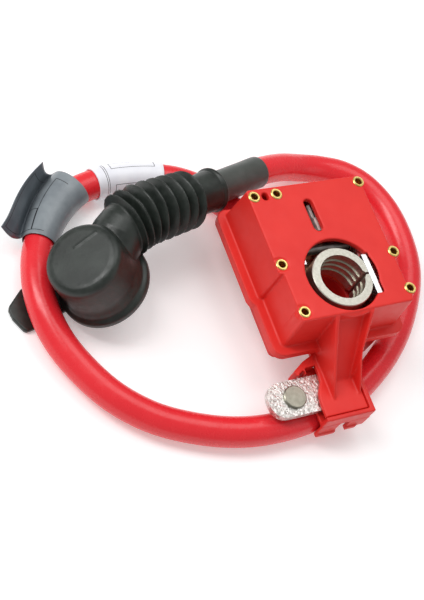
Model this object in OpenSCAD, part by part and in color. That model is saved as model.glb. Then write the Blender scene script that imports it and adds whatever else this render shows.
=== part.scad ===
// Battery-post safety switch: a post clamp and a pyrotechnic cut-off in a two-part
// housing, a riveted branch tab on an arm, and a battery cable with a boot on its far end.
// Frame: millimetres, origin on the post bore's axis at the clamp ring's face,
// +Z out of the bore's mouth. The housing lies on its rear cover at z = floor_z.

/* [Post clamp] */
// Bore for the battery post
post_bore_d = 19.5; // [16:0.1:20.5]
// Wall of the clamp ring
ring_wall = 3.4; // [2.6:0.1:3.6]
// Height of the clamp ring
ring_h = 16; // [12:0.5:17]
// Width of the slit's mouth, on the bore
slit_w = 4.2; // [1.5:0.1:5]
// Width of the slit, on the outside
slit_gap = 1; // [0.6:0.1:3]
// Thread diameter of the clamp stud
clamp_stud_d = 4; // [3:0.1:4.6]
// Thread pitch of the clamp stud
clamp_pitch = 0.7; // [0.5:0.05:1]
// How far the bridge backs off when the nut is loosened
bridge_travel = 3; // [1:0.1:3.5]
// Thickness of the bridge plate
bridge_t = 2.4; // [1.5:0.1:2.9]

/* [Housing] */
// Width of the face along X
face_w = 53.4; // [50:0.2:66]
// Length of the face along Y
face_l = 59.8; // [56:0.2:72]
// Height of the face above the clamp ring
face_z = 1; // [0.4:0.1:2]
// Thickness of the face
face_t = 2.6; // [1.8:0.1:3]
// Side wall thickness
wall = 2.2; // [1.6:0.1:2.6]
// Depth from the face to the rim
front_depth = 20.5; // [19:0.5:24]
// How far the rim stands out
rim_w = 4; // [2.5:0.1:6]
// Thickness of the rim
rim_t = 4; // [2.5:0.1:5]
// Depth of the shallow part of the rear cover
cover_shallow = 6; // [4:0.5:8]
// Depth of the deep part of the rear cover
cover_deep = 21.5; // [21:0.5:24]
// Radius of the opening round the clamp
opening_r = 16.1; // [15.6:0.1:16.6]

/* [Eyelets] */
// Outer diameter of an eyelet's flange
eyelet_d = 5; // [4:0.1:5.4]
// Bore of an eyelet
eyelet_bore = 2.9; // [2:0.1:3.2]
// Length of an eyelet
eyelet_l = 8; // [4:0.5:16]

/* [Branch tab] */
// Width of the tab
tab_w = 15; // [12:0.2:15.6]
// Thickness of the tab
tab_t = 2.9; // [2:0.1:2.9]
// Diameter of the rivet's head
rivet_head_d = 9.6; // [7:0.1:12]
// Diameter of the rivet's shank
rivet_d = 6; // [4:0.1:6.8]

/* [Cut-off] */
// Bore of the piston sleeve
sleeve_bore = 9; // [7:0.1:11]
// Stroke of the piston
piston_stroke = 9; // [4:0.1:10]
// Running clearance of the piston
piston_clearance = 0.05; // [0.02:0.01:0.1]
// Thickness of the shear link and its contacts
link_t = 1.2; // [0.8:0.1:2]

/* [Cable] */
// Outer diameter of the cable
cable_d = 12.4; // [10:0.1:12.8]
// Diameter of the copper conductor
core_d = 9.2; // [8:0.1:9.4]
// Hole in the cable lug
lug_hole_d = 8.4; // [5:0.1:10.5]
// Outer radius of the boot's flange
boot_flange_r = 19; // [17:0.1:19.2]
// Height of the boot's cap
boot_h = 25; // [23:0.5:28]

/* [Hidden] */
$fn = 64;

red = "crimson";
rubber = "darkslategray";
metal = "silver";
copper = "peru";

// Housing outline, in plan
x_left = -27.1;
x_right = x_left + face_w;
y_low = -16;
y_high = y_low + face_l;
draft = 1.044;            // how many times wider the walls are at the rim
rim_grow = 1.2;           // the same in millimetres
step_in = 1.8;            // the lower left wall stands this much further in
step_y = 5;
opening_x = -0.2;
opening_y = 0.8;
corner_r = 1.2;
rim_top = face_z - front_depth;
rim_low = rim_top - rim_t;
shallow_z = rim_low - cover_shallow;
floor_z = rim_low - cover_deep;
cover_wall = 2;
gap = 0.3;

// Eyelets: the first two and the third are near the top edge, the fourth and fifth
// straddle the right wall in ears, the last two are in notches of the left wall
eyelets = [[-24.7, y_high - 3.5], [-14.5, y_high - 3.5], [x_right - 1.2, y_high - 3],
  [x_right + 0.4, 6.6], [x_right + 0.4, -10.6], [-24.5, 9.2], [-23.1, -12.1]];
ear_r = 2.9;
pillar_r = 3.1;

// Clamp
ring_r = post_bore_d / 2 + ring_wall;
stud_y = ring_r + clamp_stud_d / 2 + 1.3;
stud_z = -6;
ring_flat_x = ring_r - 1.2;   // the ring is flat where the bridge plate bears on it
slit_y = -0.4;
bridge_x = ring_flat_x + 0.25;
bridge_y = [-9.7, 8.1];
anchor_x = [-13.4, -10.8];
nut_af = 7;
nut_t = 3.2;
nut_x = bridge_x + bridge_t;
nut_hole_r = 5;
bridge_flange = 2.6;

// Branch tab, arm and foot
tab_top = -27.1;
tab_left = -37;
tab_y = -35.7;
rivet_x = -25.5;
foot_top = -25;
tongue_x = [-8, 2];       // tongue from the tab to the busbar
tongue_end = -11.2;
tab_pad = 0.15;           // the bare end of the tab is this much thicker, underneath
foot_x = [-16.3, 3.4];
foot_y = [-47, -27.5];
arm_x = [-10.5, 2.6];
foot_neck_x = -12.3;      // left edge of the foot beside the arm

// Cut-off, above the clamp
link_x = -0.6;            // left face of the link
link_y = [22.8, 35.4];
link_z = [-12, -2.1];
link_step = 0.9;          // the output end of the link and its contact stand lower
piston_y = (link_y[0] + link_y[1]) / 2;
piston_z = face_z - face_t - sleeve_bore / 2 - 2.4;
piston_l = 8;
sleeve_x = [link_x + link_t + 0.6, 14.5];
igniter_x = [10, 19];
socket_x = [19, x_right - 0.2];

// Cable exit
exit_x = -12;
exit_y = y_high - 3.8;      // end of the cable's jacket
exit_z = -34.5;
cable_r = cable_d / 2;
core_r = core_d / 2;
bore_gap = 0.45;          // room round the cable in the pieces that are slid on it

// Boot frame: cap axis leans towards -X, the neck leaves it sideways
boot_c = [-83, y_high - 14.3, -33.3];
boot_turn = [0, 36, 168];
neck_turn = 230.5;
lug_h = 12;

// Route of the cable from the end of the lug's barrel to the housing, lying on the
// floor in one loop; the first points are inside the boot's neck and sleeve
usual_route = [[-75, 45, -16], [-66.5, 48.2, -15.3], [-56, 50.7, -16], [-43, 54.4, -18.8],
  [-38.5, 56, -19.9], [-28, 59.5, -22.2], [-11, 65.2, -26], [1.5, 69.4, -29],
  [14.5, 72.4, -33], [27, 73.4, -37.2], [38, 72, -38.7], [48.3, 67.8, -38.7],
  [56.8, 59.5, -38.7], [62, 46, -38.7], [62.5, 30, -38.7], [58.8, 13.7, -38.7],
  [49.8, -1.5, -38.7], [37, -16, -38.7], [21, -28, -38.7], [3.5, -36.8, -38.7],
  [-15.5, -41.5, -38.7], [-34.5, -42.4, -38.7], [-51, -40, -38.7], [-67, -34.4, -38.7],
  [-81, -26.7, -38.7], [-93, -15.4, -38.7], [-101.8, -1.5, -38.5], [-107.5, 12, -37.5],
  [-109.7, 26, -36.4], [-108, 40.5, -36.7], [-102.5, 54.5, -37.9], [-93, 66.8, -37.9],
  [-82.5, 75.2, -37.9], [-68, 79.3, -37.9], [-52, 79.3, -37.9], [-38, 76.6, -37.9],
  [-27.5, 71.8, -38.2], [-18, 63, -37.8], [-12.7, 51, -35.3], [-12, 40, -34.5]];
// Round a wider or longer housing the loop moves out with it
wider = x_right - 26.3;
longer = y_high - 43.8;
route = [for (p = usual_route) p + [wider * min(1, max(0, p[0] / 20)),
  longer * min(1, max(0, (p[1] + 16) / 26)), 0]];
heat_shrink_span = [5, 7];
boot_span = [0, 5];
boot_radii = [13.3, 13.4, 12.8, 12, 8.6, 9.3];
flag_span = [30, 32];
wrap_span = [33, 35];
sides = 12;

// Sweeps a round section along points; the section stays upright
function unit(v) = v / norm(v);
function tangent(p, i) = unit(p[min(i + 1, len(p) - 1)] - p[max(i - 1, 0)]);
function ring_points(p, i, r) =
  let (t = tangent(p, i), u = unit(cross([0, 0, 1], t)), w = cross(t, u))
  [for (k = [0 : sides - 1]) let (a = 360 * (k + 0.5) / sides)
    p[i] + r * (cos(a) * u + sin(a) * w)];
function part_of(p, span) = [for (i = [span[0] : span[1]]) p[i]];
// Lengthens a stretch at both ends, so that a bore runs out of its solid
function overrun(p, e) = concat([p[0] - e * tangent(p, 0)],
  [for (i = [1 : len(p) - 2]) p[i]], [p[len(p) - 1] + e * tangent(p, len(p) - 1)]);

module sweep(p, r) {
  n = len(p);
  points = [for (i = [0 : n - 1]) each ring_points(p, i, is_list(r) ? r[i] : r)];
  caps = [[for (k = [0 : sides - 1]) k],
    [for (k = [sides - 1 : -1 : 0]) (n - 1) * sides + k]];
  walls = [for (i = [0 : n - 2]) for (k = [0 : sides - 1]) let (a = i * sides + k,
    b = i * sides + (k + 1) % sides) each [[a, a + sides, b + sides], [a, b + sides, b]]];
  polyhedron(points = points, faces = concat(caps, walls));
}

module sleeve_on_route(span, r) {
  p = part_of(route, span);
  difference() {
    sweep(p, r);
    sweep(overrun(p, 1), cable_r + bore_gap);
  }
}

module along_x(x0, x1, r) {
  translate([x0, 0, 0]) rotate([0, 90, 0]) cylinder(h = x1 - x0, r = r);
}

module box(lo, hi) {
  translate(lo) cube(hi - lo);
}

module slab(z0, z1) {
  translate([0, 0, z0]) linear_extrude(z1 - z0) children();
}

module rounded_rect(lo, hi, r) {
  hull() for (x = [lo[0] + r, hi[0] - r]) for (y = [lo[1] + r, hi[1] - r])
    translate([x, y]) circle(r, $fn = 32);
}

// Plan of the front walls: the whole width above the step, then narrower
module wall_plan() {
  rounded_rect([x_left, step_y], [x_right, y_high], corner_r);
  rounded_rect([x_left + step_in, y_low], [x_right, step_y + 6], corner_r);
}

// The walls widen from the face to the rim
module walls_block() {
  h = front_depth + 0.5;
  translate([0, 0, face_z - h]) linear_extrude(h, scale = 1 / draft) scale(draft) wall_plan();
}

module clamp_opening() {
  intersection() {
    slab(face_z - front_depth, face_z + 1) translate([opening_x, opening_y]) circle(opening_r);
    box([-20, y_low + 0.4, -30], [20, 20, 5]);
  }
  // Room for the bridge plate, at its place and, under a thin skin, over its travel
  box([ring_flat_x - 1, bridge_y[0] - gap, -16], [nut_x + gap, bridge_y[1] + gap, face_z + 1]);
  box([ring_flat_x - 1, bridge_y[0] - gap, -16],
    [nut_x + bridge_flange + bridge_travel + 0.6, bridge_y[1] + gap, face_z - 0.9]);
}

module slot_cut() {
  hull() for (y = [23.2, 34.2]) translate([-1.9, y, face_z - face_t - 1])
    cylinder(h = face_t + 2, r = 2.1, $fn = 32);
}

module ridge_arm() {
  difference() {
    union() {
      // Side outline: ribs' crest, foot, underside
      translate([arm_x[0], 0, 0]) rotate([90, 0, 90]) linear_extrude(arm_x[1] - arm_x[0])
        polygon([[y_low + 2, face_z - 0.3], [y_low - 0.4, face_z - 0.9],
          [y_low - 2.4, face_z - 2.6], [-41.2, foot_top - 0.2], [-41.2, foot_top - 1.6],
          [y_low + 2, foot_top - 1.6]]);
      // Wide root of the right rib
      hull() {
        box([arm_x[1] - 1, y_low - 1, face_z - 3], [7.4, y_low, face_z - 0.9]);
        box([arm_x[1] - 1, y_low - 1, -18], [6.4, y_low, -17]);
        box([arm_x[1] - 1, -29, -15.5], [arm_x[1] + 0.3, -28, -14]);
      }
    }
    // Channel between the ribs, below the band round the opening and out over the foot
    difference() {
      union() {
        hull() {
          box([arm_x[0] + 2, y_low - 1.4, face_z - 2.2], [5.6, y_low + 3, face_z + 2]);
          box([-6.1, -33.8, foot_top], [0.4, -33.6, foot_top + 1]);
          box([arm_x[0] + 1.1, -30.2, -14], [arm_x[1] - 1, -30, 3]);
        }
        translate([arm_x[0] + 1.1, 0, 0]) rotate([90, 0, 90])
          linear_extrude(arm_x[1] - arm_x[0] - 2.1) polygon([[-29.6, -12], [-30.2, -14],
            [-33.8, foot_top], [-42, foot_top], [-42, -12]]);
      }
      slab(face_z - 2.6, face_z + 3) translate([opening_x, opening_y]) circle(opening_r + 2.2);
    }
    clamp_opening();
  }
}

module housing_body() {
  color(red) {
    difference() {
      union() {
        walls_block();
        // Ears for the eyelets that straddle the right wall
        for (e = [eyelets[3], eyelets[4]]) slab(rim_top - 0.2, face_z)
          translate(e) circle(ear_r);
        // Rim
        slab(rim_low, rim_top) {
          rounded_rect([x_left - rim_w - rim_grow, step_y - 3], [x_right + rim_w + rim_grow,
            y_high + rim_w], 5);
          rounded_rect([x_left + step_in - rim_w - rim_grow, y_low - rim_w - 0.5],
            [x_right + rim_w + rim_grow, step_y + 12], 5);
        }
      }
      // Inside, open towards the rear cover
      slab(rim_low - 1, face_z - face_t) {
        square_between([x_left + wall, step_y], [x_right - wall, y_high - wall]);
        square_between([x_left + step_in + wall, y_low + wall], [x_right - wall, step_y + 1]);
      }
      clamp_opening();
      slot_cut();
      // Small window between the first two eyelets
      for (y = [y_high - 4, y_high - 3.5]) translate([-19.6, y, face_z - face_t - 1])
        cylinder(h = face_t + 2, r = 1.5);
      // Notches round the two left eyelets
      for (e = [eyelets[5], eyelets[6]]) slab(face_z - 0.5, face_z + 1) {
        translate(e) circle(pillar_r);
        translate([e[0] - 4, e[1] - pillar_r]) square([4, 2 * pillar_r]);
      }
      // Access to the clamp nut and the socket, in the right wall
      translate([0, stud_y, stud_z]) along_x(x_right - wall - 1, x_right + 3, nut_hole_r);
      translate([0, piston_y, piston_z]) along_x(x_right - wall - 1, x_right + 3, 6.6);
      for (e = eyelets) slab(face_z - eyelet_l - 1, face_z + 1)
        translate(e) circle(eyelet_bore / 2 + 0.35);
    }
    // Pillars that the eyelets stand in
    for (e = eyelets) difference() {
      intersection() {
        slab(rim_top, face_z - face_t + 0.1) translate(e) circle(pillar_r);
        slab(rim_top, face_z) square_between([x_left, y_low], [x_right - 0.5, y_high - 0.5]);
      }
      slab(face_z - eyelet_l - 1, face_z + 1) translate(e) circle(eyelet_bore / 2 + 0.35);
    }
    ridge_arm();
    // Foot over the branch tab
    slab(tab_top + gap / 3, foot_top) polygon([[foot_x[0], foot_y[0]], [foot_x[1], foot_y[0]],
      [foot_x[1], foot_y[1]], [foot_neck_x, foot_y[1]], [foot_neck_x - 0.6, -32.3],
      [foot_x[0] + 1, -36.3], [foot_x[0], -40]]);
    box([foot_neck_x, foot_y[1] - 1, tab_top + gap / 3], [arm_x[1], y_low + 0.5,
      foot_top - 0.2]);
    // Rib that stops the broken link
    box([link_x - piston_stroke - gap - 1.6, piston_y - 3, -12],
      [link_x - piston_stroke - gap, piston_y + 3, face_z - face_t + 0.1]);
  }
}

module square_between(lo, hi) {
  translate(lo) square(hi - lo);
}

module cover_shell(in) {
  z_top = rim_low + (in > 0 ? 1 : 0);
  slab(shallow_z + in, z_top) rounded_rect([x_left - rim_grow + in, y_low - 0.8 + in],
    [x_right + 0.8 - in, y_high + 0.8 - in], 3);
  slab(floor_z + in, shallow_z + in + 0.1) {
    rounded_rect([-16 + in, -5 + in], [x_right + 0.8 - in, y_high + 0.8 - in], 3);
    rounded_rect([6 + in, y_low - 0.8 + in], [x_right + 0.8 - in, 4], 3);
  }
}

module rear_cover() {
  color(red) difference() {
    union() {
      difference() {
        cover_shell(0);
        cover_shell(cover_wall);
      }
      // Stop behind the post
      slab(shallow_z + 0.5, -18.9) difference() {
        circle(post_bore_d / 2 + 2.4);
        circle(post_bore_d / 2 + 0.8);
      }
      slab(shallow_z, shallow_z + 1.8) circle(post_bore_d / 2 + 2.4);
      // Seat under the ferrule
      box([exit_x - 5, exit_y - 13, floor_z + 1], [exit_x + 5, exit_y - 9, exit_z - 6]);
    }
    // Ways in for the arm and for the branch tab's tongue
    box([foot_neck_x - gap, y_low - 3, shallow_z - 1], [arm_x[1] + gap, y_low + 2 + gap,
      rim_low + 1]);
    box([tongue_x[0] - gap, y_low - 3, shallow_z - 1], [tongue_x[1] + gap, tongue_end + gap,
      -ring_h - 2]);
    translate([exit_x, y_high - 3, exit_z]) rotate([-90, 0, 0]) cylinder(h = 6, r = 8);
    translate([exit_x, 0, exit_z]) rotate([-90, 0, 0]) cylinder(h = exit_y + 5, r = 7.3);
  }
}

module rivet_eyelets() {
  color("gold") for (i = [0 : len(eyelets) - 1]) {
    seat = face_z - (i > 4 ? 0.5 : 0);
    translate([eyelets[i][0], eyelets[i][1], 0]) rotate_extrude() polygon([
      [eyelet_bore / 2, seat - eyelet_l], [eyelet_bore / 2 + 0.3, seat - eyelet_l],
      [eyelet_bore / 2 + 0.3, seat], [eyelet_d / 2, seat], [eyelet_d / 2, seat + 0.2],
      [eyelet_d / 2 - 0.35, seat + 0.5], [eyelet_bore / 2 + 0.2, seat + 0.5],
      [eyelet_bore / 2, seat + 0.2]]);
  }
}

module clamp_ring() {
  groove = 0.5;
  color(metal) difference() {
    rotate_extrude() polygon([[post_bore_d / 2, -ring_h], [ring_r, -ring_h],
      [ring_r, -0.3], [ring_r - 0.3, 0], [post_bore_d / 2, 0]]);
    for (z = [-4.9, -8.4, -11.9]) translate([0, 0, z]) rotate_extrude()
      polygon([[post_bore_d / 2 - 1, 0], [post_bore_d / 2 + groove, 0],
        [post_bore_d / 2 + groove, 3], [post_bore_d / 2 - 1, 3]]);
    // Slit, wide on the bore and narrow outside, and the flat that it opens in
    slab(-ring_h - 1, 1) translate([0, slit_y]) polygon([[0, -slit_w / 2],
      [post_bore_d / 2 - 0.5, -slit_w / 2], [ring_flat_x - 1.4, -slit_gap / 2],
      [ring_r + 1, -slit_gap / 2], [ring_r + 1, slit_gap / 2], [ring_flat_x - 1.4, slit_gap / 2],
      [post_bore_d / 2 - 0.5, slit_w / 2], [0, slit_w / 2]]);
    box([ring_flat_x, -ring_r, -ring_h - 1], [ring_r + 1, ring_r, 1]);
  }
}

module clamp_bridge() {
  color(metal) difference() {
    union() {
      box([bridge_x, bridge_y[0], -14], [nut_x, bridge_y[1], -0.2]);
      box([bridge_x, bridge_y[1] - 1, -11], [nut_x, stud_y + 4.6, -2.2]);
      // Flange that stiffens it
      box([nut_x - 0.1, bridge_y[0] + 2, -9], [nut_x + bridge_flange, bridge_y[1] - 1.6, -2.6]);
    }
    translate([0, stud_y, stud_z]) along_x(bridge_x - 1, nut_x + 1, clamp_stud_d / 2 + 0.35);
  }
}

module clamp_nut() {
  color(metal) translate([nut_x + 0.05, stud_y, stud_z]) rotate([0, 90, 0]) difference() {
    union() {
      cylinder(h = nut_t, r = nut_af / 2 / cos(30), $fn = 6);
      cylinder(h = 0.5, r = 4.3);
    }
    translate([0, 0, -1]) cylinder(h = nut_t + 2, r = clamp_stud_d / 2 + 0.05);
  }
}

module clamp_stud() {
  stud_end = nut_x + nut_t + bridge_travel;
  color(metal) translate([0, stud_y, stud_z]) {
    along_x(anchor_x[0] - 1, stud_end, clamp_stud_d / 2);
    translate([stud_end, 0, 0]) rotate([0, 90, 0])
      cylinder(h = clamp_pitch, r1 = clamp_stud_d / 2, r2 = clamp_stud_d / 2 - clamp_pitch);
    along_x(anchor_x[0] - 2.6, anchor_x[0] - 0.1, 3.4);
  }
}

module stud_anchor() {
  color(metal) difference() {
    union() {
      box([anchor_x[0], 9.8, -12], [anchor_x[1], stud_y + 4.2, -4]);
      box([anchor_x[0], 9.8, -ring_h + gap / 3], [anchor_x[1], 13.9, -4]);
    }
    translate([0, stud_y, stud_z]) along_x(anchor_x[0] - 1, anchor_x[1] + 1,
      clamp_stud_d / 2 + 0.1);
  }
}

module main_busbar() {
  z0 = -ring_h - 2.6;
  color(copper) difference() {
    union() {
      slab(z0, -ring_h) {
        circle(ring_r - 0.3);
        square_between([-13.8, -1], [-7, 13.9]);
        square_between([-8, 8], [5, 21.5]);
        // Tongue to the branch tab
        square_between([tongue_x[0], tongue_end - 2.5], [tongue_x[1], -8]);
      }
      box([link_x, stud_y + clamp_stud_d / 2 + gap, z0],
        [link_x + link_t, link_y[0] - gap, link_z[1]]);
    }
    slab(z0 - 1, -ring_h + 1) circle(post_bore_d / 2 + 0.9);
    slab(z0 - 1, -ring_h + 1) square_between([0, slit_y - slit_w / 2], [20, slit_y + slit_w / 2]);
  }
}

module branch_tab() {
  z0 = tab_top - tab_t;
  end_r = 6.5;
  pad_end = foot_x[0] - 1;
  module plan(right) hull() {
    for (s = [-1, 1]) translate([tab_left + end_r, tab_y + s * (tab_w / 2 - end_r)])
      circle(end_r);
    square_between([pad_end - 1, tab_y - tab_w / 2], [right, tab_y + tab_w / 2]);
  }
  color(metal) difference() {
    union() {
      slab(z0, tab_top) plan(pad_end);
      slab(z0 + tab_pad, tab_top) {
        plan(-1);
        square_between([tongue_x[0], tab_y], [tongue_x[1], tongue_end]);
      }
      box([tongue_x[0], tongue_end - 2.5, z0 + tab_pad], [tongue_x[1], tongue_end, -ring_h - 2.6]);
    }
    translate([rivet_x, tab_y, z0 - 1]) cylinder(h = tab_t + 2, r = rivet_d / 2 + 0.02);
  }
}

module tab_rivet() {
  color(metal) translate([rivet_x, tab_y, 0]) rotate_extrude() polygon([
    [0, tab_top - tab_t], [rivet_d / 2, tab_top - tab_t], [rivet_d / 2, tab_top],
    [rivet_head_d / 2, tab_top],
    [rivet_head_d / 2, tab_top + 0.9], [rivet_head_d / 2 - 0.4, tab_top + 1.2],
    [0, tab_top + 1.2]]);
}

module tab_carrier() {
  under = tab_top - tab_t - 0.1;
  base = under - 1.5;
  lip_top = foot_top + 0.5;
  lip_x = foot_x[1] + 0.3;
  lip_y = foot_y[0] - 0.3;
  color(red) {
    // Base under the tab, and a lip round the foot
    box([foot_x[0] - 0.5, lip_y - 2, base], [lip_x + 2.2, -25, under]);
    box([lip_x, lip_y - 2, base], [lip_x + 2.2, -31, lip_top]);
    box([foot_x[0] - 0.5, lip_y - 2, base], [lip_x + 2.2, lip_y, lip_top]);
    // Snap legs beside the cable
    box([foot_x[0] - 0.5, lip_y - 2.2, -39], [-8, lip_y - 0.7, base + 1]);
    box([foot_x[0] - 0.5, lip_y - 3, -39], [-8, lip_y - 0.7, -36.6]);
    box([-3.6, lip_y - 2.2, -38], [lip_x + 2.2, lip_y - 0.7, base + 1]);
    box([-3.6, lip_y - 3, -38], [1.5, lip_y - 0.7, -35.4]);
    // Angled guard along the tab's edge, with a curled end, on a bar from the base
    slab(base, lip_top) difference() {
      polygon([[foot_neck_x - gap, -20.6], [-17.3, -22.5], [-22.9, -26.1], [-22.1, -28],
        [-17.8, -28], [-17.8, -25.6], [foot_neck_x - gap, -25.2]]);
      translate([-18.9, -27.1]) circle(0.8);
      square_between([-20.8, -29], [-18.9, -27.1]);
    }
    box([foot_neck_x, -26.9, base], [-9.5, -24, under]);
    box([foot_neck_x - gap - 0.4, -26, base], [-11, -24, under]);
  }
}

module shear_link() {
  step_y = (link_y[0] + link_y[1]) / 2;
  color(metal) translate([link_x, 0, 0]) difference() {
    rotate([90, 0, 90]) linear_extrude(link_t) polygon([[link_y[0], link_z[0]],
      [link_y[1], link_z[0]], [link_y[1], link_z[1] - link_step],
      [step_y + 0.3, link_z[1] - link_step], [step_y - 0.3, link_z[1]], [link_y[0], link_z[1]]]);
    // Notches where it breaks
    for (y = link_y) translate([-0.5, y, link_z[0]]) rotate([0, 90, 0])
      cylinder(h = link_t + 1, r = 1.4);
  }
}

module piston() {
  r = sleeve_bore / 2 - piston_clearance;
  x0 = sleeve_x[0] + 0.6;
  color("dimgray") translate([0, piston_y, piston_z]) difference() {
    union() {
      along_x(x0, x0 + piston_l, r);
      along_x(link_x + link_t, x0 + 0.1, r - 1.8);
    }
    // Groove for the ring
    difference() {
      along_x(x0 + 3, x0 + 5, r + 1);
      along_x(x0 + 2, x0 + 6, r - 1);
    }
  }
}

module piston_o_ring() {
  x0 = sleeve_x[0] + 0.6;
  color(rubber) translate([x0 + 4, piston_y, piston_z]) rotate([0, 90, 0]) rotate_extrude()
    translate([sleeve_bore / 2 - piston_clearance - 0.5, 0]) circle(0.48, $fn = 24);
}

module cylinder_sleeve() {
  color(metal) translate([0, piston_y, piston_z]) difference() {
    union() {
      along_x(sleeve_x[0], sleeve_x[1], sleeve_bore / 2 + 1.2);
      along_x(sleeve_x[1] - 1.6, sleeve_x[1], sleeve_bore / 2 + 1.6);
    }
    along_x(sleeve_x[0] - 1, sleeve_x[1] + 1, sleeve_bore / 2);
  }
}

module igniter() {
  color("goldenrod") translate([0, piston_y, piston_z]) {
    along_x(igniter_x[0], sleeve_x[1], sleeve_bore / 2 - 0.1);
    along_x(sleeve_x[1], igniter_x[1], 5.6);
  }
}

module igniter_pins() {
  color("gold") for (s = [-1.4, 1.4]) translate([0, piston_y + s, piston_z])
    along_x(igniter_x[1], igniter_x[1] + 4.5, 0.5);
}

module igniter_socket() {
  color("dimgray") translate([0, piston_y, piston_z]) difference() {
    along_x(socket_x[0], socket_x[1], 6.4);
    along_x(socket_x[0] + 1.6, socket_x[1] + 1, 4.6);
    for (s = [-1.4, 1.4]) translate([0, s, 0])
      along_x(socket_x[0] - 1, socket_x[0] + 3, 0.52);
  }
}

module output_bar() {
  color(copper) {
    box([link_x, link_y[1] + gap, -26.8], [link_x + link_t, exit_y + 0.4,
      link_z[1] - link_step - 1]);
    box([exit_x - 6, exit_y - 12.5, exit_z + 7.1], [link_x + link_t, exit_y + 0.4, -25.1]);
  }
}

module cable_ferrule() {
  color(copper) translate([exit_x, exit_y - 14.5, exit_z]) rotate([-90, 0, 0]) difference() {
    cylinder(h = 14, r = 7.1);
    translate([0, 0, 2]) cylinder(h = 14, r = core_r + 0.05);
  }
}

module cable_gland() {
  color(red) translate([exit_x, y_high - 1.4, exit_z]) rotate([-90, 0, 0]) difference() {
    union() {
      cylinder(h = 2.2, r = 7.95);
      translate([0, 0, 2.2]) cylinder(h = 2.4, r = 8.6);
    }
    translate([0, 0, -1]) cylinder(h = 8, r = cable_r + 0.3);
  }
}

module conductor_ends() {
  color(copper) {
    translate([exit_x, exit_y - 12, exit_z]) rotate([-90, 0, 0]) cylinder(h = 12, r = core_r);
    in_boot_frame() translate([0, 0, lug_h]) rotate([0, 0, neck_turn]) along_x(11, 20.5, core_r);
  }
}

module in_boot_frame() {
  translate(boot_c) rotate(boot_turn) children();
}

module cable() {
  color(red) sweep(route, cable_r);
}

module heat_shrink() {
  color(rubber) sleeve_on_route(heat_shrink_span, cable_r + 0.8);
}

module terminal_boot() {
  cap_r = 16.2;
  rubber_t = 2.6;
  color(rubber) {
    difference() {
      union() {
        in_boot_frame() rotate_extrude() polygon([[0, 0], [boot_flange_r - 0.6, 0],
          [boot_flange_r, 0.8], [boot_flange_r, 2.4], [boot_flange_r - 1, 3.4],
          [cap_r + 0.8, 4.4], [cap_r, 7], [cap_r - 0.8, boot_h - 4],
          [cap_r - 2.6, boot_h - 1], [cap_r - 5, boot_h], [0, boot_h]]);
        in_boot_frame() translate([0, 0, lug_h - 1.4]) rotate([0, 0, neck_turn])
          along_x(5, 20.6, 10.5);
      }
      in_boot_frame() rotate_extrude() polygon([[0, -1], [cap_r - rubber_t + 0.6, -1],
        [cap_r - rubber_t, 6], [cap_r - rubber_t - 0.8, boot_h - 4], [cap_r - 6, boot_h - 2.4],
        [0, boot_h - 2.4]]);
      in_boot_frame() translate([0, 0, lug_h]) rotate([0, 0, neck_turn])
        along_x(5, 22, cable_r + 0.75);
    }
    // Pull tab, flat on the floor and under the cable
    difference() {
      slab(floor_z + 0.1, floor_z + 2.1) translate([0, longer])
        polygon([[-96.6, 26.5], [-97.2, 41], [-113.4, 38.7], [-121.4, 30.7],
          [-119.8, 25.7], [-116.1, 19.4], [-113.8, 20.3]]);
      in_boot_frame() cylinder(h = 30, r = cap_r);
    }
  }
}

// Bellows and collar, the same moulding as the cap
module bellows_sleeve() {
  color(rubber) sleeve_on_route(boot_span, boot_radii);
}

module cable_lug() {
  palm_r = 8;
  color(metal) in_boot_frame() translate([0, 0, lug_h]) rotate([0, 0, neck_turn])
    difference() {
      union() {
        translate([0, 0, -6.2]) hull() {
          cylinder(h = 2.6, r = palm_r);
          translate([8, -6, 0]) cube([2.6, 12, 2.6]);
        }
        along_x(8.5, 19, 6.2);
      }
      along_x(10.5, 22, core_r + 0.05);
      translate([0, 0, -10]) cylinder(h = 10, r = lug_hole_d / 2);
    }
}

module flag_label() {
  color("slategray") {
    sleeve_on_route(flag_span, cable_r + 0.85);
    // Loose end, standing out over the outer side of the cable
    slab(exit_z + 2.2, exit_z + 2.8) translate([0, longer]) polygon([[-101, 56], [-91.5, 68.5], [-84, 75.5],
      [-93, 87.3], [-99.6, 83.6], [-109, 73], [-115.5, 59.8], [-118, 56], [-113.5, 49.5]]);
  }
}

module wrap_label() {
  color("whitesmoke") sleeve_on_route(wrap_span, cable_r + 0.85);
}

housing_body();
rear_cover();
rivet_eyelets();
clamp_ring();
clamp_bridge();
clamp_nut();
clamp_stud();
stud_anchor();
main_busbar();
branch_tab();
tab_rivet();
tab_carrier();
shear_link();
piston();
piston_o_ring();
cylinder_sleeve();
igniter();
igniter_pins();
igniter_socket();
output_bar();
cable_ferrule();
cable_gland();
conductor_ends();
cable();
heat_shrink();
terminal_boot();
bellows_sleeve();
cable_lug();
flag_label();
wrap_label();
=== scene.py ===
"""Looks of the battery post safety switch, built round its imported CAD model."""

import math

import bmesh
import bpy
from mathutils import Matrix, Vector


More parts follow.
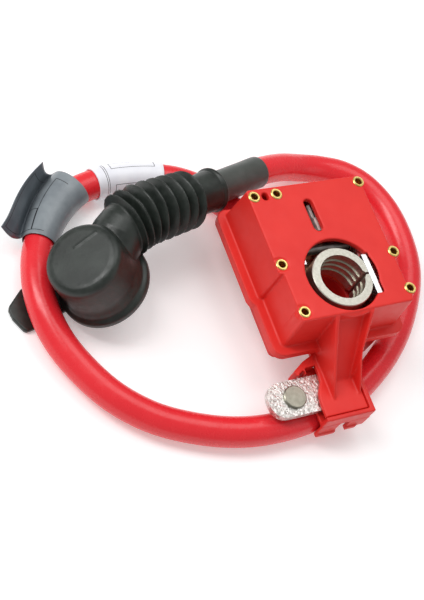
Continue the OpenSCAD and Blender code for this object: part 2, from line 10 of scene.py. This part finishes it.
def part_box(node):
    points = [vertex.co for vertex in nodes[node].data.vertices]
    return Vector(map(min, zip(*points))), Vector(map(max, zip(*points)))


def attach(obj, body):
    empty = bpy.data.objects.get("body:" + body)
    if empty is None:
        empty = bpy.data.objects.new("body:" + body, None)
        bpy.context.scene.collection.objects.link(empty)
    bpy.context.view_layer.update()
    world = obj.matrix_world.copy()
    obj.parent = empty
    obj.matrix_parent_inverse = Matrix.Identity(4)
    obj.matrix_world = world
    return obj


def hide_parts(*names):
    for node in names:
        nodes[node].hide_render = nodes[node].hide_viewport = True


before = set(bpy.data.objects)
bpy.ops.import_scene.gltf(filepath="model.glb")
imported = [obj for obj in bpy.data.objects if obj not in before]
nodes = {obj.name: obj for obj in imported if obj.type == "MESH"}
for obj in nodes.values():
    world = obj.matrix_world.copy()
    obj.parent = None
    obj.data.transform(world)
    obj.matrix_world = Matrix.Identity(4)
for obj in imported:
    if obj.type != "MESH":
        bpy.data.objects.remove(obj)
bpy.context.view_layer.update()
scene = bpy.context.scene

MM = 0.001

# ---------------------------------------------------------------- sizes, in millimetres

# Route of the cable, from the end of the lug's barrel to the housing
ROUTE = [
    (-75, 45, -16), (-66.5, 48.2, -15.3), (-56, 50.7, -16), (-43, 54.4, -18.8),
    (-38.5, 56, -19.9), (-28, 59.5, -22.2), (-11, 65.2, -26), (1.5, 69.4, -29),
    (14.5, 72.4, -33), (27, 73.4, -37.2), (38, 72, -38.7), (48.3, 67.8, -38.7),
    (56.8, 59.5, -38.7), (62, 46, -38.7), (62.5, 30, -38.7), (58.8, 13.7, -38.7),
    (49.8, -1.5, -38.7), (37, -16, -38.7), (21, -28, -38.7), (3.5, -36.8, -38.7),
    (-15.5, -41.5, -38.7), (-34.5, -42.4, -38.7), (-51, -40, -38.7), (-67, -34.4, -38.7),
    (-81, -26.7, -38.7), (-93, -15.4, -38.7), (-101.8, -1.5, -38.5), (-107.5, 12, -37.5),
    (-109.7, 26, -36.4), (-108, 40.5, -36.7), (-102.5, 54.5, -37.9), (-93, 66.8, -37.9),
    (-82.5, 75.2, -37.9), (-68, 79.3, -37.9), (-52, 79.3, -37.9), (-38, 76.6, -37.9),
    (-27.5, 71.8, -38.2), (-18, 63, -37.8), (-12.7, 51, -35.3), (-12, 40, -34.5),
]
CABLE_D = 12.4
CABLE_R = CABLE_D / 2
SHRINK_T = 0.8
SHRINK_R = CABLE_R + SHRINK_T
LABEL_T = 0.3
WRAP_R = CABLE_R + 0.8
WRAP_T = 0.7

# Spans of the route that each piece covers, as positions in the list above
BELLOWS = (0, 3.25)
COLLAR = (3.25, 5)
SHRINK = (4.9, 6.82)
WRAP_TUBE = (32.75, 34.75)

# The grey label is stiffer than the cable's bend: its own axis, half widths across and up
FLAG_AXIS = [(-102.5, 54.5, -37.9), (-98, 61.8, -37.8), (-93.4, 67.9, -37.7),
             (-87.8, 73.6, -37.6), (-81.6, 78.3, -37.5)]
FLAG_WIDE = (7.1, 9.2)
FLAG_TALL = (7.1, 7.4)
# Its loose end, from the lower left: the middle and the outer edge
FLAG_MIDDLE = [(-114.3, 56, -33), (-109.1, 62.9, -32.5), (-104.7, 69.9, -32),
               (-99.2, 77.5, -31.5), (-93.3, 82.7, -30)]
FLAG_EDGE = [(-118.7, 58.9, -28), (-114.7, 62.7, -27), (-110, 70.2, -26),
             (-102.9, 78.1, -25), (-94.7, 84.2, -25)]

# Boot: the cap's axis leans, the neck leaves it sideways
BOOT_CENTRE = (-83, 29.5, -33.3)
BOOT_LEAN = 36
BOOT_HEADING = 168
NECK_TURN = 230.5
LUG_H = 12
CAP_R = 16.2
FLANGE_R = 19
BOOT_H = 25
BELLOWS_RIBS = 8
PULL_TAB_Z = (-44.9, -42.9)

FLOOR_SIZE = 6


# ---------------------------------------------------------------- paths and tubes

def catmull(p0, p1, p2, p3, t):
    """Point at t, 0 to 1, of the smooth curve's stretch from p1 to p2."""
    return 0.5 * (2 * p1 + (p2 - p0) * t + (2 * p0 - 5 * p1 + 4 * p2 - p3) * t * t
                  + (3 * p1 - p0 - 3 * p2 + p3) * t ** 3)


def route_point(position):
    """Point of the smooth route at a fractional position in ROUTE, in millimetres."""
    points = [Vector(p) for p in ROUTE]
    last = len(points) - 1
    i = min(int(position), last - 1)
    around = [points[max(i - 1, 0)], points[i], points[i + 1], points[min(i + 2, last)]]
    return catmull(*around, position - i)


def route_part(start, end, steps):
    return [route_point(start + (end - start) * k / steps) for k in range(steps + 1)]


def arc_lengths(path):
    total, found = 0.0, [0.0]
    for a, b in zip(path, path[1:]):
        total += (b - a).length
        found.append(total)
    return found


def upright_frame(path, i):
    """Sideways and upward directions square to the path at its point i."""
    t = (path[min(i + 1, len(path) - 1)] - path[max(i - 1, 0)]).normalized()
    side = Vector((0, 0, 1)).cross(t).normalized()
    return side, t.cross(side)


def finish_mesh(bm, name, material):
    """Turns a bmesh in millimetres into an object in metres."""
    bm.transform(Matrix.Scale(MM, 4))
    mesh = bpy.data.meshes.new(name)
    bm.to_mesh(mesh)
    bm.free()
    obj = bpy.data.objects.new(name, mesh)
    scene.collection.objects.link(obj)
    mesh.materials.append(material)
    for face in mesh.polygons:
        face.use_smooth = True
    return obj


def tube(bm, path, radius, sides=48, caps=True):
    """Adds a tube; radius is a function of the arc length, for a number or (up, sideways).
    UVs are millimetres along and round."""
    uv = bm.loops.layers.uv.verify()
    arcs = arc_lengths(path)
    rings, rounds = [], []
    for i, (centre, s) in enumerate(zip(path, arcs)):
        side, up = upright_frame(path, i)
        tall, wide = radius(s) if isinstance(radius(s), tuple) else (radius(s), radius(s))
        rings.append([bm.verts.new(centre + tall * math.cos(2 * math.pi * k / sides) * up
                                   + wide * math.sin(2 * math.pi * k / sides) * side)
                      for k in range(sides)])
        rounds.append(2 * math.pi * tall)
    for i in range(len(rings) - 1):
        for k in range(sides):
            corners = ((i, k), (i + 1, k), (i + 1, k + 1), (i, k + 1))
            face = bm.faces.new([rings[r][c % sides] for r, c in corners])
            for loop, (r, c) in zip(face.loops, corners):
                loop[uv].uv = (arcs[r], rounds[r] * c / sides)
    if caps:
        bm.faces.new(rings[0])
        bm.faces.new(list(reversed(rings[-1])))


def lathe(bm, profile, matrix, steps=96):
    """Adds a solid of revolution round Z; the profile runs from axis to axis."""
    columns = []
    for k in range(steps):
        a = 2 * math.pi * k / steps
        columns.append([bm.verts.new(matrix @ Vector((r * math.cos(a), r * math.sin(a), z)))
                        for r, z in profile])
    for k in range(steps):
        here, there = columns[k], columns[(k + 1) % steps]
        for j in range(len(profile) - 1):
            bm.faces.new((here[j], there[j], there[j + 1], here[j + 1]))
    bmesh.ops.remove_doubles(bm, verts=bm.verts, dist=1e-5)


def baked(obj):
    """Applies obj's modifiers to its mesh."""
    graph = bpy.context.evaluated_depsgraph_get()
    mesh = bpy.data.meshes.new_from_object(obj.evaluated_get(graph))
    obj.modifiers.clear()
    obj.data = mesh
    for face in mesh.polygons:
        face.use_smooth = True
    return obj


def remeshed(obj, voxel, passes=0):
    """Closes overlapping solids into one skin of voxels, then smooths it."""
    remesh = obj.modifiers.new("remesh", "REMESH")
    remesh.mode = "VOXEL"
    remesh.voxel_size = voxel * MM
    remesh.use_smooth_shade = True
    if passes:
        smooth = obj.modifiers.new("smooth", "SMOOTH")
        smooth.iterations = passes
        smooth.factor = 0.5
    return obj


# ---------------------------------------------------------------- camera and light

def make_camera():
    data = bpy.data.cameras.new("camera")
    data.lens = 71.27
    data.sensor_width = 36
    camera = bpy.data.objects.new("camera", data)
    camera.location = (-0.25012, -0.16285, 0.36608)
    camera.rotation_euler = [math.radians(a) for a in (29.657, -18.469, -20.581)]
    scene.collection.objects.link(camera)
    scene.camera = camera


def area_light(name, place, target, size, power):
    data = bpy.data.lights.new(name, "AREA")
    data.shape = "RECTANGLE"
    data.size, data.size_y = size
    data.energy = power
    light = bpy.data.objects.new(name, data)
    light.location = place
    light.rotation_euler = (Vector(target) - Vector(place)).to_track_quat("-Z", "Y").to_euler()
    scene.collection.objects.link(light)


def make_studio():
    middle = (-0.02, 0.02, -0.03)
    area_light("key", (-0.55, 0.37, 0.75), middle, (0.35, 0.7), 5.4)
    area_light("top", (0.25, 0.35, 1.1), middle, (0.8, 0.8), 4.2)
    area_light("fill", (0.7, -0.6, 0.5), middle, (0.6, 0.6), 0.5)
    world = bpy.data.worlds.new("studio")
    world.use_nodes = True
    back = world.node_tree.nodes["Background"]
    back.inputs["Color"].default_value = (1, 1, 1, 1)
    back.inputs["Strength"].default_value = 0.4
    scene.world = world
    scene.view_settings.view_transform = "Standard"


# ---------------------------------------------------------------- materials

class Shader:
    """A Principled material with helpers that add texture nodes to it."""

    def __init__(self, name, color, rough, metal=0.0, **constants):
        self.material = bpy.data.materials.new(name)
        self.material.use_nodes = True
        self.tree = self.material.node_tree
        self.shader = self.tree.nodes["Principled BSDF"]
        self.shader.inputs["Base Color"].default_value = (*color, 1)
        self.shader.inputs["Roughness"].default_value = rough
        self.shader.inputs["Metallic"].default_value = metal
        for key, value in constants.items():
            self.shader.inputs[key.replace("_", " ")].default_value = value
        self.material.diffuse_color = (*color, 1)
        self.coords = self.add("ShaderNodeTexCoord").outputs["Object"]
        self.height = None

    def add(self, kind, **settings):
        node = self.tree.nodes.new(kind)
        for key, value in settings.items():
            setattr(node, key, value)
        return node

    def link(self, output, target):
        self.tree.links.new(output, target)

    def math(self, operation, a, b=None):
        node = self.add("ShaderNodeMath", operation=operation)
        for socket, value in zip(node.inputs, (a, b)):
            if isinstance(value, (int, float)):
                socket.default_value = value
            elif value is not None:
                self.link(value, socket)
        return node.outputs[0]

    def noise(self, per_mm, detail=3.0, rough=0.55):
        """Noise with per_mm waves in a millimetre of the object."""
        node = self.add("ShaderNodeTexNoise")
        node.inputs["Scale"].default_value = per_mm / MM
        node.inputs["Detail"].default_value = detail
        node.inputs["Roughness"].default_value = rough
        self.link(self.coords, node.inputs["Vector"])
        return node.outputs["Fac"]

    def spread(self, fac, low, high, out_low=0.0, out_high=1.0):
        node = self.add("ShaderNodeMapRange")
        for key, value in (("From Min", low), ("From Max", high),
                           ("To Min", out_low), ("To Max", out_high)):
            node.inputs[key].default_value = value
        self.link(fac, node.inputs["Value"])
        return node.outputs["Result"]

    def mix(self, fac, a, b):
        """Mixes two colours; each is a tuple or an output."""
        node = self.add("ShaderNodeMix", data_type="RGBA")
        self.link(fac, node.inputs["Factor"])
        for socket, value in ((node.inputs["A"], a), (node.inputs["B"], b)):
            if isinstance(value, tuple):
                socket.default_value = (*value, 1)
            else:
                self.link(value, socket)
        return node.outputs["Result"]

    def tint(self, fac, a, b):
        self.link(self.mix(fac, a, b), self.shader.inputs["Base Color"])
        return self

    def gloss(self, fac, low, high):
        self.link(self.spread(fac, 0.3, 0.7, low, high), self.shader.inputs["Roughness"])
        return self

    def bump(self, fac, depth):
        """Adds relief of that depth, in millimetres."""
        node = self.add("ShaderNodeBump")
        node.inputs["Distance"].default_value = depth * MM
        self.link(fac, node.inputs["Height"])
        if self.height is not None:
            self.link(self.height, node.inputs["Normal"])
        self.height = node.outputs["Normal"]
        self.link(self.height, self.shader.inputs["Normal"])
        return self


def moulded_plastic(name, color, dark, rough):
    """Satin plastic: fine erosion texture from the mould, and faint clouding."""
    m = Shader(name, color, rough, Specular_IOR_Level=0.35)
    m.tint(m.spread(m.noise(0.06, 4), 0.35, 0.65), color, dark)
    m.gloss(m.noise(0.25, 4), rough - 0.05, rough + 0.07)
    m.bump(m.noise(2.2, 2), 0.012).bump(m.noise(0.12, 2), 0.05)
    return m.material


def soft_vinyl(name, color, dark):
    """Glossy cable jacket, a little uneven along its length."""
    m = Shader(name, color, 0.24, Specular_IOR_Level=0.5)
    m.tint(m.spread(m.noise(0.04, 3), 0.3, 0.7), color, dark)
    m.gloss(m.noise(0.3, 3), 0.2, 0.32)
    m.bump(m.noise(0.09, 2), 0.09).bump(m.noise(1.1, 3), 0.006)
    return m.material


def moulded_rubber(name, color, pale, rough):
    """Dull rubber with a bloom, in a fine mould texture."""
    m = Shader(name, color, rough, Specular_IOR_Level=0.45)
    m.tint(m.spread(m.noise(0.1, 6, 0.65), 0.4, 0.75), color, pale)
    m.gloss(m.noise(0.4, 5, 0.6), rough - 0.08, rough + 0.12)
    m.bump(m.noise(1.4, 4, 0.7), 0.02).bump(m.noise(0.16, 3), 0.08)
    return m.material


def plated_metal(name, color, dark, rough, grain, depth, metal=1.0):
    """Metal with a granular plating."""
    m = Shader(name, color, rough, metal)
    m.tint(m.spread(m.noise(grain * 0.4, 4), 0.35, 0.7), color, dark)
    m.gloss(m.noise(grain, 3), rough - 0.06, rough + 0.1)
    m.bump(m.noise(grain, 3, 0.7), depth)
    return m.material


def rough_tin(name):
    """Thick dipped tin, with crystals and pits."""
    m = Shader(name, (0.72, 0.7, 0.66), 0.34, metal=1.0)
    cells = m.add("ShaderNodeTexVoronoi", feature="F1")
    cells.inputs["Scale"].default_value = 1.0 / MM
    m.link(m.coords, cells.inputs["Vector"])
    m.tint(m.spread(m.noise(0.75, 5, 0.75), 0.4, 0.6), (0.86, 0.84, 0.81), (0.46, 0.44, 0.41))
    m.gloss(m.noise(0.8, 4), 0.22, 0.5)
    m.bump(cells.outputs["Distance"], 0.15).bump(m.noise(1.5, 4, 0.7), 0.13)
    return m.material


def label_film(name, color, shade, frames):
    """Printed film with thin frames, placed in millimetres along and round it."""
    m = Shader(name, color, 0.32, Specular_IOR_Level=0.5)
    uv = m.add("ShaderNodeUVMap").outputs["UV"]
    split = m.add("ShaderNodeSeparateXYZ")
    m.link(uv, split.inputs[0])
    along, around = split.outputs[0], split.outputs[1]

    def within(lo, hi, inset):
        """1 inside the rectangle from lo to hi, less the inset."""
        inside = None
        for value, a, b in ((along, lo[0], hi[0]), (around, lo[1], hi[1])):
            offset = m.math("ABSOLUTE", m.math("SUBTRACT", value, (a + b) / 2))
            part = m.math("LESS_THAN", offset, (b - a) / 2 - inset)
            inside = part if inside is None else m.math("MULTIPLY", inside, part)
        return inside

    ink = None
    for lo, hi, line in frames:
        drawn = m.math("SUBTRACT", within(lo, hi, 0), within(lo, hi, line))
        ink = drawn if ink is None else m.math("MAXIMUM", ink, drawn)
    paper = m.mix(m.spread(m.noise(0.12, 3), 0.35, 0.65), color, shade)
    m.tint(ink, paper, (0.02, 0.02, 0.025))
    m.bump(m.noise(0.15, 3), 0.05)
    return m.material


def stranded_copper(name):
    m = Shader(name, (0.72, 0.36, 0.2), 0.3, metal=1.0)
    m.tint(m.noise(1.2, 3), (0.8, 0.42, 0.25), (0.5, 0.22, 0.12))
    m.bump(m.noise(1.6, 2), 0.1)
    return m.material


red_housing = moulded_plastic("red_housing", (0.81, 0.032, 0.024), (0.76, 0.026, 0.02), 0.44)
red_cover = moulded_plastic("red_cover", (0.72, 0.024, 0.02), (0.64, 0.018, 0.016), 0.46)
red_clip = moulded_plastic("red_clip", (0.76, 0.03, 0.022), (0.7, 0.022, 0.018), 0.36)
red_cable = soft_vinyl("red_cable", (0.85, 0.028, 0.038), (0.79, 0.02, 0.03))
boot_rubber = moulded_rubber("boot_rubber", (0.013, 0.017, 0.014), (0.032, 0.04, 0.034), 0.36)
shrink_film = moulded_rubber("shrink_film", (0.06, 0.067, 0.06), (0.085, 0.094, 0.086), 0.38)
black_rubber = moulded_rubber("black_rubber", (0.01, 0.01, 0.01), (0.02, 0.02, 0.02), 0.5)
dark_plastic = moulded_plastic("dark_plastic", (0.03, 0.03, 0.034), (0.02, 0.02, 0.022), 0.4)
brass = plated_metal("brass", (0.86, 0.68, 0.26), (0.72, 0.52, 0.15), 0.3, 0.8, 0.006)
nickel = plated_metal("nickel", (0.64, 0.62, 0.55), (0.52, 0.5, 0.43), 0.38, 2.0, 0.01)
zinc = plated_metal("zinc", (0.93, 0.93, 0.94), (0.8, 0.8, 0.82), 0.26, 1.0, 0.008)
copper = plated_metal("copper", (0.82, 0.45, 0.3), (0.66, 0.33, 0.2), 0.3, 0.8, 0.01)
rivet_metal = plated_metal("rivet_metal", (0.35, 0.335, 0.275), (0.27, 0.26, 0.21), 0.36,
                           1.4, 0.012)
dull_steel = plated_metal("dull_steel", (0.3, 0.29, 0.28), (0.2, 0.19, 0.18), 0.4, 1.0, 0.01)
bare_link = plated_metal("bare_link", (0.9, 0.88, 0.84), (0.6, 0.57, 0.52), 0.5, 0.8, 0.02, 0.5)
tin = rough_tin("tin")
strands = stranded_copper("strands")


# ---------------------------------------------------------------- cable and what is on it

def make_cable():
    path = list(reversed(route_part(0, len(ROUTE) - 1, 6 * (len(ROUTE) - 1))))
    bm = bmesh.new()
    tube(bm, path, lambda s: CABLE_R)
    obj = finish_mesh(bm, "battery_cable", red_cable)
    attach(obj, "housing")
    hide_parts("cable")
    return obj, path


def sleeve(name, path, radius, thick, material, node):
    """A sleeve that is open at both ends, with rounded rims."""
    bm = bmesh.new()
    tube(bm, path, radius, caps=False)
    obj = finish_mesh(bm, name, material)
    skin = obj.modifiers.new("skin", "SOLIDIFY")
    skin.thickness = thick * MM
    skin.offset = -1
    bevel = obj.modifiers.new("rims", "BEVEL")
    bevel.width = 0.12 * MM
    bevel.segments = 2
    bevel.angle_limit = math.radians(60)
    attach(obj, "housing")
    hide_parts(node)
    return obj


def boot_matrix():
    return (Matrix.Translation(BOOT_CENTRE) @ Matrix.Rotation(math.radians(BOOT_HEADING), 4, "Z")
            @ Matrix.Rotation(math.radians(BOOT_LEAN), 4, "Y"))


def rounded(corners, steps=5):
    """Rounds each (r, z, radius) corner of an outline that isn't closed."""
    points = []
    for i, (r, z, radius) in enumerate(corners):
        here = Vector((r, z))
        if radius == 0 or i in (0, len(corners) - 1):
            points.append(tuple(here))
            continue
        before = (Vector(corners[i - 1][:2]) - here).normalized()
        after = (Vector(corners[i + 1][:2]) - here).normalized()
        for k in range(steps + 1):
            t = k / steps
            a, b = here + before * radius, here + after * radius
            points.append(tuple((1 - t) ** 2 * a + 2 * t * (1 - t) * here + t * t * b))
    return points


def rib(phase):
    """Height of a bellows rib across its width: a round crest between sharp valleys."""
    return 1 - abs(2 * (phase % 1) - 1) ** 1.25


def make_boot():
    """Cap, neck, bellows, collar and pull tab as one rubber moulding."""
    matrix = boot_matrix()
    bm = bmesh.new()
    lathe(bm, rounded([(0, 0, 0), (FLANGE_R, 0, 0.8), (FLANGE_R, 3.1, 0.9), (17.9, 3.9, 0.5),
                       (17.2, 4.4, 0.4), (16.9, 6.5, 1.0), (CAP_R, 9, 1.5),
                       (CAP_R - 0.9, BOOT_H, 3.6), (0, BOOT_H, 0)]), matrix)
    neck = matrix @ Matrix.Translation((0, 0, LUG_H)) @ Matrix.Rotation(
        math.radians(NECK_TURN), 4, "Z")
    elbow = [neck @ Vector(p) for p in ((3, 0, -2.6), (8, 0, -2.4), (12, 0, -1.8),
                                        (15, 0, -1.2), (18, 0, -0.6))]
    tube(bm, elbow + [route_point(0.02), route_point(0.17)],
         lambda s: 11.4 - 1.2 * max(0, (s - 10) / 9), sides=72)

    # Bellows: the ribs spread out towards the collar, and get narrower and deeper
    path = route_part(*BELLOWS, 170)
    length = arc_lengths(path)[-1]

    def bellows_radius(s):
        share = s / length
        depth = 4.2 + 0.9 * share
        return 13.6 - 1.2 * share - depth * (1 - rib(BELLOWS_RIBS * share ** 0.86))

    tube(bm, path, bellows_radius, sides=80)
    collar_path = route_part(*COLLAR, 60)
    collar_l = arc_lengths(collar_path)[-1]

    def collar_radius(s):
        swell = 8.2 + 0.9 * s / collar_l
        bead = 0.55 * math.exp(-((collar_l - 0.9 - s) / 0.8) ** 4)
        groove = 0.3 * math.exp(-((collar_l - 2.4 - s) / 0.35) ** 2)
        return swell + bead - groove

    tube(bm, collar_path, collar_radius, sides=80)

    # Faint ridge across the cap's top
    ridge = matrix @ Matrix.Translation((-2.4, -7.1, BOOT_H - 0.1)) @ Matrix.Rotation(
        math.radians(23.6), 4, "Z") @ Matrix.Diagonal((10.4, 0.7, 0.6, 1))
    bmesh.ops.create_cube(bm, size=1, matrix=ridge)

    # Pull tab, flat on the floor and under the cable
    outline = [(-96.6, 26.5), (-97.2, 41), (-112.2, 38.8), (-114, 38.2), (-120.4, 31.8),
               (-121, 30.2), (-120.4, 26.2), (-117.6, 20.6), (-116.4, 19.8), (-113.8, 20.3)]
    low, high = PULL_TAB_Z
    bottom = [bm.verts.new((x, y, low)) for x, y in outline]
    top = [bm.verts.new((x, y, high)) for x, y in outline]
    bm.faces.new(bottom)
    bm.faces.new(list(reversed(top)))
    for i in range(len(outline)):
        j = (i + 1) % len(outline)
        bm.faces.new((bottom[j], bottom[i], top[i], top[j]))
    bmesh.ops.recalc_face_normals(bm, faces=bm.faces)
    boot = finish_mesh(bm, "rubber_boot", boot_rubber)
    baked(remeshed(boot, 0.32, passes=1))

    # What is hollow inside: the cap's cavity and the way of the cable
    hollow = bmesh.new()
    lathe(hollow, rounded([(0, -3, 0), (FLANGE_R - 3.6, -3, 0), (CAP_R - 2.2, 4, 1.5),
                           (CAP_R - 3.2, BOOT_H - 2.6, 3), (0, BOOT_H - 2.6, 0)]), matrix, 72)
    tube(hollow, [neck @ Vector((x, 0, 0)) for x in (4, 9, 14, 18, 23)], lambda s: 6.9)
    tube(hollow, [neck @ Vector((20, 0, 0))] + route_part(0, 5, 60)
         + [route_point(5) + (route_point(5) - route_point(4.9)).normalized() * 3],
         lambda s: CABLE_R + 0.1)
    bmesh.ops.recalc_face_normals(hollow, faces=hollow.faces)
    cutter = finish_mesh(hollow, "hollow", boot_rubber)
    baked(remeshed(cutter, 0.6))
    cut = boot.modifiers.new("cut", "BOOLEAN")
    cut.operation = "DIFFERENCE"
    cut.solver = "EXACT"
    cut.object = cutter
    baked(boot)
    bpy.data.objects.remove(cutter)
    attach(boot, "housing")
    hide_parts("terminal_boot", "bellows_sleeve")
    return boot


def make_flag():
    """The grey label: a loose wrap round the cable, and its end standing out in a curve."""
    axis = [Vector(p) for p in FLAG_AXIS]
    path = []
    for i in range(len(axis) - 1):
        around = [axis[max(i - 1, 0)], axis[i], axis[i + 1], axis[min(i + 2, len(axis) - 1)]]
        path += [catmull(*around, k / 6) for k in range(6)]
    path.append(axis[-1])
    length = arc_lengths(path)[-1]

    def half_sizes(s):
        share = s / length
        return tuple(lo + (hi - lo) * share for lo, hi in (FLAG_TALL, FLAG_WIDE))

    wrap = sleeve("grey_label_wrap", path, half_sizes, LABEL_T, grey_film,
                  "flag_label")

    # The loose end leaves the wrap's outer side, dips, and rises to its edge
    bm = bmesh.new()
    uv = bm.loops.layers.uv.verify()
    rows = []
    for i, (middle, edge) in enumerate(zip(FLAG_MIDDLE, FLAG_EDGE)):
        side, up = upright_frame(axis, i)
        tall, wide = half_sizes(length * i / 4)
        start = [axis[i] + tall * k * math.cos(a) * up + wide * k * math.sin(a) * side
                 for a, k in ((0.7, 1.0), (1.25, 1.03), (1.75, 1.1))]
        mid, rim = Vector(middle), Vector(edge)
        rows.append([bm.verts.new(p) for p in (*start, (start[2] + mid) / 2 - 0.4 * up, mid,
                                               (mid + rim) / 2 - 0.5 * up, rim)])
    across = (0, 4, 8, 11, 15, 19, 23)
    for i in range(4):
        for j in range(6):
            corners = ((i, j), (i + 1, j), (i + 1, j + 1), (i, j + 1))
            face = bm.faces.new([rows[r][c] for r, c in corners])
            for loop, (r, c) in zip(face.loops, corners):
                loop[uv].uv = (length * r / 4, across[c])
    end = finish_mesh(bm, "grey_label_end", grey_film_painted_shade)
    fine = end.modifiers.new("fine", "SUBSURF")
    fine.levels = fine.render_levels = 3
    fine.boundary_smooth = "PRESERVE_CORNERS"
    skin = end.modifiers.new("skin", "SOLIDIFY")
    skin.thickness = LABEL_T * MM
    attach(end, "housing")
    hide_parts("flag_label")
    return wrap, end


# ---------------------------------------------------------------- CAD nodes

def finish_nodes():
    """Gives each CAD node that stays its material, and moulded ones their rounded edges."""
    finishes = {
        "rivet_eyelets": brass, "clamp_ring": nickel, "clamp_bridge": zinc,
        "clamp_nut": zinc, "clamp_stud": dull_steel, "stud_anchor": zinc, "main_busbar": copper,
        "branch_tab": tin, "tab_rivet": rivet_metal, "shear_link": bare_link,
        "piston": dark_plastic, "piston_o_ring": black_rubber, "cylinder_sleeve": zinc,
        "igniter": brass, "igniter_pins": brass, "igniter_socket": dark_plastic,
        "output_bar": copper, "cable_ferrule": copper, "conductor_ends": strands,
        "cable_lug": tin, "housing_body": red_housing, "rear_cover": red_cover,
        "tab_carrier": red_clip, "cable_gland": red_cover,
    }
    for name, material in finishes.items():
        mesh = nodes[name].data
        mesh.materials.clear()
        mesh.materials.append(material)
    voxel = 0.35
    for name in ("housing_body", "rear_cover", "tab_carrier"):
        remeshed(nodes[name], voxel, passes=4)


make_camera()
cable, cable_path = make_cable()
shrink = sleeve("heat_shrink_tube", route_part(*SHRINK, 24), lambda s: SHRINK_R, SHRINK_T,
                shrink_film, "heat_shrink")
boot = make_boot()
grey_film = label_film("grey_film", (0.26, 0.29, 0.31), (0.19, 0.215, 0.235),
                       [((1.8, -1), (27.6, 5.2), 0.3), ((1.8, 5.2), (12, 19), 0.3)])
# The grey label's loose end gets a darker copy of the grey film: painted shade on the end that
# stands out from the wrap.
grey_film_painted_shade = label_film("grey_film_painted_shade", (0.14, 0.165, 0.185), (0.1, 0.12, 0.14),
                           [((2, -9), (27.4, 21.4), 0.3)])
white_film = label_film("white_film", (0.94, 0.94, 0.98), (0.86, 0.86, 0.92),
                        [((4, -1), (5.1, 60), 0.25), ((7.5, 1.2), (27, 5.4), 0.25),
                         ((8, 33.6), (28, 38), 0.25)])
flag, flag_end = make_flag()
wrap = sleeve("white_label_wrap", route_part(*WRAP_TUBE, 20), lambda s: WRAP_R, WRAP_T,
              white_film, "wrap_label")

finish_nodes()
make_studio()

floor_material = Shader("floor", (0.9, 0.9, 0.9), 0.9, Specular_IOR_Level=0.1)
floor_material.shader.inputs["Emission Color"].default_value = (1, 1, 1, 1)
floor_material.shader.inputs["Emission Strength"].default_value = 0.26
bpy.ops.mesh.primitive_plane_add(size=FLOOR_SIZE, location=(0, 0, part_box("rear_cover")[0].z))
floor = bpy.context.object
floor.name = "floor"
floor.data.materials.append(floor_material.material)
